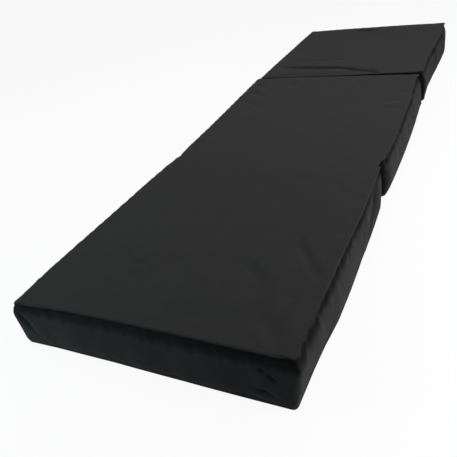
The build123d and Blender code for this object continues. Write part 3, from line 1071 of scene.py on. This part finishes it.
def lowerHeadEdge(points, shell):
    grid = shell["grid"]
    fromEdge = points[grid, 1] - shell["size"]["foot"]
    leftwards = 1 / (1 + np.exp((points[grid, 0] - headEdge["middle"]) / headEdge["spread"]))
    points[grid, 2] -= headEdge["drop"] * leftwards * hump(fromEdge, headEdge["reach"])


shells = {}
for sectionName, seed in {"foot": 11, "middle": 31, "head": 51}.items():
    shells[sectionName] = coverShell(sectionName)
    shapeCover(shells[sectionName], seed)
    print(sectionName, "cover shaped")


# The base's rim, from the seam down to the floor, as inset and height above the floor
baseRim = [(0.0025, 0.0065), (0.0016, 0.0056), (0.0013, 0.0042), (0.0016, 0.0026), (0.0028, 0.001), (0.0052, 0)]
rimRub = 0.6


def baseShell(name):
    size, above = sectionSizes(name), shells[name]
    rings = [drawnRing(size, inset) for inset, height in baseRim]
    count = len(rings[0])
    points, index = fillRings(rings, baseRim)
    shiftEdges(points, size)
    points[:count] = above["points"][:count]
    rub = np.zeros(len(points))
    rub[count:len(rings) * count] = rimRub
    return {
        "size": size, "points": points, "index": index, "count": count,
        # the base gets no painted shade
        "rub": rub, "fresh": np.zeros(len(points)),
        "grain": layPanel(points, len(rings), 0, count),
        "bandGrain": layBand(points, above["girth"], len(rings)),
        "rimFaces": [ringFaces(k, count)[:, ::-1] for k in range(len(rings) - 1)],
        "gridFaces": gridFaces(index, False),
    }


baseShells = {name: baseShell(name) for name in sectionNames}

# The top's and the base's panels: two sections under one sheet, and the third under its own. The dip is how
# far the sheet sinks in its joint, or rises in the one below
panels = {
    "top": {"joined": ("foot", "middle"), "alone": "head", "dip": -0.0001, "finish": "cover"},
    "base": {"joined": ("middle", "head"), "alone": "foot", "dip": 0.0028, "finish": "base"},
}
bridgeSteps = (0.25, 0.4, 0.5, 0.6, 0.75)
bridgeShape = 1.5
# At which end of each section the top's cloth, and the base's, crosses to the next one
crossings = {"top": {"foot": "head", "middle": "foot"}, "base": {"middle": "head", "head": "foot"}}


# The columns of the two facing ends that the cloth over a joint joins, without the corners
def hingeColumns(shell):
    x = shell["points"][shell["index"][0], 0]
    return np.flatnonzero(np.abs(x) < shell["size"]["right"] - cover["hingeInset"])


# The rim's quads that lie along the cloth that crosses the joint at one end, or all but those
def rimQuads(shell, end, bridged):
    row = shell["index"][-1 if end == "head" else 0][hingeColumns(shell)]
    quads = np.vstack(shell["rimFaces"])
    onBridge = np.isin(quads[:, :2] % shell["count"], row - shell["index"][0, 0]).all(axis=1)
    return quads[onBridge == bridged]


def joinSkins(near, far, grain="grain"):
    joined = {key: np.concatenate([near[key], far[key]]) for key in ("points", "rub", "fresh")}
    return joined | {"grain": np.concatenate([near[grain], far[grain]])}


# A sheet over two sections: both grids, the rims that hang free and a bridge across the joint
def joinedSheet(near, far, dip):
    skin, shift, columns = joinSkins(near, far), len(near["points"]), hingeColumns(near)
    faces = [near["gridFaces"], far["gridFaces"] + shift, rimQuads(near, "head", False),
             rimQuads(far, "foot", False) + shift]
    first, last = near["index"][-1][columns], far["index"][0][columns] + shift
    rows = [first]
    for step in bridgeSteps:
        between = skin["points"][first] * (1 - step) + skin["points"][last] * step
        between[:, 2] += dip * math.sin(math.pi * step) ** bridgeShape
        # the bridge's rows get no wear and no painted shade
        noWearOrShade = np.zeros(len(columns))
        rows.append(len(skin["points"]) + np.arange(len(columns)))
        skin = joinSkins(skin, {"points": between, "grain": between[:, :2], "rub": noWearOrShade, "fresh": noWearOrShade})
    faces.append(gridFaces(np.array(rows + [last]), dip < 0))
    return skin, np.vstack(faces)


def sewPanels(side, shells):
    near, far = panels[side]["joined"]
    alone, finish = panels[side]["alone"], panels[side]["finish"]
    creased = side == "top"
    skin, faces = joinedSheet(shells[near], shells[far], panels[side]["dip"])
    piece = makePiece(f"{near}_and_{far}_{side}_cover", skin, faces, finish,
                      over=(near, far), creased=creased)
    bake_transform(piece)
    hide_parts(f"{near}_{side}_panel", f"{far}_{side}_panel", f"{side}_hinge_cloth")
    shell = shells[alone]
    piece = makePiece(f"{alone}_{side}_cover", shell, np.vstack(shell["rimFaces"] + [shell["gridFaces"]]),
                      finish, over=(alone,), creased=creased)
    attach(piece, alone)
    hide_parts(f"{alone}_{side}_panel")
    print(side, "covers sewn")


sewPanels("top", shells)
sewPanels("base", baseShells)


# The boxing: a band round three sides and the zip side's ends, and a strip above and below the zip.
# Where a cloth crosses a joint, the band runs on to it over the rim of the top or the base
def sewBoxing(name):
    shell, base = shells[name], baseShells[name]
    zipCells = np.isin(np.arange(shell["count"]), shell["zipColumns"][:-1])
    heights, mid, slot = shell["heights"], shell["size"]["zipHeight"], cover["zipSlotHalf"] - 1e-6
    parts = {"side_band": [], "zip_strip_lower": [], "zip_strip_upper": []}
    for k, quads in enumerate(shell["wallFaces"]):
        parts["side_band"].append(quads[~zipCells])
        if heights[k + 1] <= mid - slot:
            parts["zip_strip_lower"].append(quads[zipCells])
        elif heights[k] >= mid + slot:
            parts["zip_strip_upper"].append(quads[zipCells])
    for side, owner, shift in (("top", shell, 0), ("base", base, len(shell["points"]))):
        if name in crossings[side]:
            parts["side_band"].append(rimQuads(owner, crossings[side][name], True) + shift)
    skin = joinSkins(shell, base, "bandGrain")
    for part, quads in parts.items():
        piece = makePiece(f"{name}_{part}_cloth", skin, np.vstack(quads), "cover",
                          over=(name,), creased=part == "side_band")
        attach(piece, name)
        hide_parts(f"{name}_{part}")


for sectionName in sectionNames:
    sewBoxing(sectionName)
print("boxing sewn")


# The foam: a crowned block a little smaller than its cover, with a groove behind the zip
foamBlock = {
    "cellsAcross": 38,
    "cellsAlong": 42,
    "sideInset": 0.0128,
    "edgeInset": 0.0175,
    "edgeHeight": 0.0065,
    "lowest": 0.0022,
    "topClearance": 0.0085,
    "crownClearance": 0.001,
    "grooveHalf": 0.0165,
    "grooveHalfLength": 0.3,
    "grooveDepth": 0.013,
    "grooveLip": 0.0008,
    "fill": 0.95,
}


def foamCore(name):
    size, block = sectionSizes(name), foamBlock
    across, along = block["cellsAcross"], block["cellsAlong"]
    low, high = block["lowest"], size["top"] - cover["crown"] - block["topClearance"]
    mid, groove, lip = size["zipHeight"], block["grooveHalf"], block["grooveLip"]
    straight = [low + block["edgeHeight"], mid - groove - lip, mid - groove, mid, mid + groove,
                mid + groove + lip, high - block["edgeHeight"]]
    levels = [(block["edgeInset"], low), *((block["sideInset"], height) for height in straight),
              (block["edgeInset"], high)]
    rings = [outlineRing(size, inset, across, along) for inset, height in levels]
    count = len(rings[0])
    points = stackRings(rings, levels)
    zipSide = np.flatnonzero((np.arange(count) >= 2 * across + along)
                             & (np.abs(rings[1][:, 1] - size["middleY"]) < block["grooveHalfLength"]))
    for k in (3, 4, 5):  # the rings at the groove
        points[k * count + zipSide, 0] = size["left"] + block["grooveDepth"] + block["sideInset"] / 2
    faces = [ringFaces(k, count) for k in range(len(levels) - 1)]
    for k, upwards in ((0, False), (len(levels) - 1, True)):
        index, inner = fillGrid(rings[k], len(points), k * count, across, along)
        u = np.abs(inner[:, 0]) / size["right"]
        v = np.abs(inner[:, 1] - size["middleY"]) / (size["head"] - size["middleY"])
        squareU, squareV = cover["crownShape"]
        crown = (cover["crown"] - block["crownClearance"]) * (1 - u ** squareU) * (1 - v ** squareV)
        points = np.vstack([points, np.column_stack([inner, levels[k][1] + upwards * crown])])
        faces.append(gridFaces(index, upwards))
    shiftEdges(points, size)
    piece = makePiece(f"{name}_foam_block", {"points": points}, np.vstack(faces), "foam")
    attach(piece, name)
    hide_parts(f"{name}_foam_core")


for sectionName in sectionNames:
    foamCore(sectionName)
print("foam cut")


# The zips: two rows of nylon coil that mesh, and the rows of stitches that hold the tapes. A stitch is a
# short rounded thread, given as places along it and how thick it is there
zipCoil = {"pitch": 0.0023, "wire": 0.0009, "rowOffset": 0.00125, "reach": 0.0023, "depth": 0.00095,
           "pointsPerTurn": 8}
stitches = {"pitch": 0.0036, "length": 0.0027, "radius": 0.00028, "sunk": 0.4, "sides": 6, "castFrom": 0.05,
            "swell": [(-0.5, 0.25), (-0.4, 0.85), (0.0, 1.0), (0.4, 0.85), (0.5, 0.25)]}


def coilRows(name):
    low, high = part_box(f"{name}_zip_chain")
    pitch, wire = zipCoil["pitch"], zipCoil["wire"]
    turns = int((high.y - low.y - wire) / pitch)
    line = bpy.data.curves.new(f"{name}_zip_coil", "CURVE")
    line.dimensions = "3D"
    line.bevel_depth = wire / 2
    line.bevel_resolution = 1
    line.use_fill_caps = True
    middleX, middleZ = (low.x + high.x) / 2, (low.z + high.z) / 2
    turn = np.arange(turns * zipCoil["pointsPerTurn"] + 1) * 2 * math.pi / zipCoil["pointsPerTurn"]
    for way, lead in ((-1, 0), (1, math.pi)):
        wave = np.column_stack([
            middleX + zipCoil["depth"] * np.sin(turn),
            low.y + wire / 2 + pitch * turn / (2 * math.pi),
            middleZ + way * zipCoil["rowOffset"] + zipCoil["reach"] * np.cos(turn + lead),
            np.ones(len(turn)),
        ])
        spline = line.splines.new("POLY")
        spline.points.add(len(wave) - 1)
        spline.points.foreach_set("co", wave.astype(np.float32).ravel())
    curve = addObject(f"{name}_zip_coil", line)
    mesh = bpy.data.meshes.new_from_object(curve)
    bpy.data.objects.remove(curve)
    mesh.materials.clear()
    mesh.materials.append(finishes["coil"])
    shadeSmooth(mesh)
    piece = addObject(f"{name}_zip_coil", mesh)
    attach(piece, name)
    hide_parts(f"{name}_zip_chain")


def stitchRows(name):
    shell, radius, pitch, sides = shells[name], stitches["radius"], stitches["pitch"], stitches["sides"]
    hem = cover["zipSlotHalf"] + cover["zipStitchInset"]
    hems = [k for k, height in enumerate(shell["heights"])
            if abs(abs(height - shell["size"]["zipHeight"]) - hem) < 1e-6]
    turns = [2 * math.pi / sides * k for k in range(sides)]
    template = np.array([
        (math.cos(turn) * swell * radius, share * stitches["length"], math.sin(turn) * swell * radius)
        for share, swell in stitches["swell"] for turn in turns
    ])
    quads = np.vstack([ringFaces(s, sides) for s in range(len(stitches["swell"]) - 1)])
    points, faces = [], []
    for row, strip in zip(hems, ("lower", "upper")):
        line = shell["points"][row * shell["count"] + shell["zipColumns"]]
        line = line[np.argsort(line[:, 1])]
        places = np.arange(line[0, 1] + pitch, line[-1, 1] - pitch, pitch)
        z = np.interp(places, line[:, 1], line[:, 2])
        cloth = bpy.data.objects[f"{name}_zip_strip_{strip}_cloth"]
        outside = shell["size"]["left"] - stitches["castFrom"]
        x = [cloth.ray_cast((outside, y, up), (1, 0, 0))[1].x for y, up in zip(places, z)]
        for place in np.column_stack([np.array(x) - radius * stitches["sunk"], places, z]):
            faces.append(quads + len(points) * len(template))
            points.append(template + place)
    skin = {"points": np.vstack(points)}
    piece = makePiece(f"{name}_zip_stitching", skin, np.vstack(faces), "thread", detail=0)
    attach(piece, name)


for sectionName in sectionNames:
    coilRows(sectionName)
    stitchRows(sectionName)
print("zips sewn in")


# The zips' hard parts and tapes keep their own shapes, with softened edges
keptParts = {
    "zip_tape_upper": ("tape", 0.0001),
    "zip_tape_lower": ("tape", 0.0001),
    "zip_stops": ("metal", 0.00025),
    "zip_slider": ("metal", 0.0003),
    "zip_pull": ("metal", 0.00025),
}


def finishKeptPart(node, finish, rounding):
    node.data.materials.clear()
    node.data.materials.append(finishes[finish])
    bevel = node.modifiers.new("softened edges", "BEVEL")
    bevel.width = rounding
    bevel.segments = 2
    bevel.limit_method = "ANGLE"


for sectionName in sectionNames:
    for part, look in keptParts.items():
        finishKeptPart(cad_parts[f"{sectionName}_{part}"], *look)
print("zip parts finished")


# The studio: a pale floor, a soft sky that is brightest behind the bed's head, and four soft lamps
studioFloor = {"size": 60.0, "level": -0.0004, "seenColour": (0.85, 0.85, 0.85, 1), "glow": 0.92,
               "bounceColour": (0.2, 0.2, 0.2, 1)}
sky = {"behind": 0.38, "front": 0.14, "range": (-0.7, 0.8), "tint": (0.98, 0.99, 1.0, 1)}
white = (1, 1, 1, 1)
# Each lamp's place, what it's aimed at, its width and height, its power and its colour
lamps = {
    "right": ((1.7, -0.6, 0.6), (0.3, -0.5, 0.05), (1.2, 0.4), 27, (1, 1, 0.98)),
    "over": ((0.2, 0.3, 1.7), (0.1, 0.2, 0.1), (0.9, 0.7), 12, (1, 1, 1)),
    "left": ((-1.7, -1.3, 1.2), (-0.25, -0.9, 0.1), (0.6, 0.6), 10, (0.99, 1.0, 1.0)),
    "frontLeft": ((-0.85, -1.55, 0.22), (-0.3, -1.0, 0.05), (0.2, 0.2), 5, (0.66, 0.92, 1.0)),
}


# One shader where it's seen, straight, in gloss or through glass, and another where it lights the bed
def showAndLight(tree, output, light, seen):
    path = addNode(tree, "LightPath")
    rays = doMath(tree, "ADD", path.outputs["Is Camera Ray"], path.outputs["Is Glossy Ray"])
    rays = doMath(tree, "MINIMUM", doMath(tree, "ADD", rays, path.outputs["Is Transmission Ray"]), 1.0)
    mix = addNode(tree, "MixShader", {0: rays, 1: light.outputs[0], 2: seen.outputs[0]})
    addNode(tree, output, {"Surface": mix.outputs[0]})


def layFloor():
    half = studioFloor["size"] / 2
    mesh = bpy.data.meshes.new("studio_floor")
    mesh.from_pydata([(-half, -half, 0), (half, -half, 0), (half, half, 0), (-half, half, 0)], [], [(0, 1, 2, 3)])
    floor = addObject("studio_floor", mesh)
    floor.location.z = studioFloor["level"]
    material = bpy.data.materials.new("floor_material")
    tree = emptyTree(material)
    bounce = addNode(tree, "BsdfDiffuse", {"Color": studioFloor["bounceColour"]})
    pale = addNode(tree, "BsdfDiffuse", {"Color": studioFloor["seenColour"]})
    glow = addNode(tree, "Emission", {"Color": white, "Strength": 1.0})
    seen = addNode(tree, "MixShader", {0: studioFloor["glow"], 1: pale.outputs[0], 2: glow.outputs[0]})
    showAndLight(tree, "OutputMaterial", bounce, seen)
    mesh.materials.append(material)


def lightSky():
    world = bpy.data.worlds.new("studio_sky")
    bpy.context.scene.world = world
    tree = emptyTree(world)
    direction = addNode(tree, "TexCoord").outputs["Generated"]
    alongBed = addNode(tree, "SeparateXYZ", {0: direction}).outputs[1]
    level = mapRange(tree, alongBed, sky["range"], (sky["front"], sky["behind"]), interpolation_type="SMOOTHSTEP")
    lit = addNode(tree, "Background", {"Color": sky["tint"], "Strength": level})
    seen = addNode(tree, "Background", {"Color": white, "Strength": 1.0})
    showAndLight(tree, "OutputWorld", lit, seen)


def hangLamp(name, place, aim, size, power, colour):
    light = bpy.data.lights.new(name, "AREA")
    light.shape = "RECTANGLE"
    light.size, light.size_y = size
    light.energy = power
    light.color = colour
    holder = addObject(name, light)
    holder.location = place
    holder.rotation_euler = (Vector(aim) - Vector(place)).to_track_quat("-Z", "Y").to_euler()


layFloor()
lightSky()
for lampName, lamp in lamps.items():
    hangLamp(f"{lampName}_lamp", *lamp)
bpy.context.scene.view_settings.view_transform = "Standard"
print("studio lit")
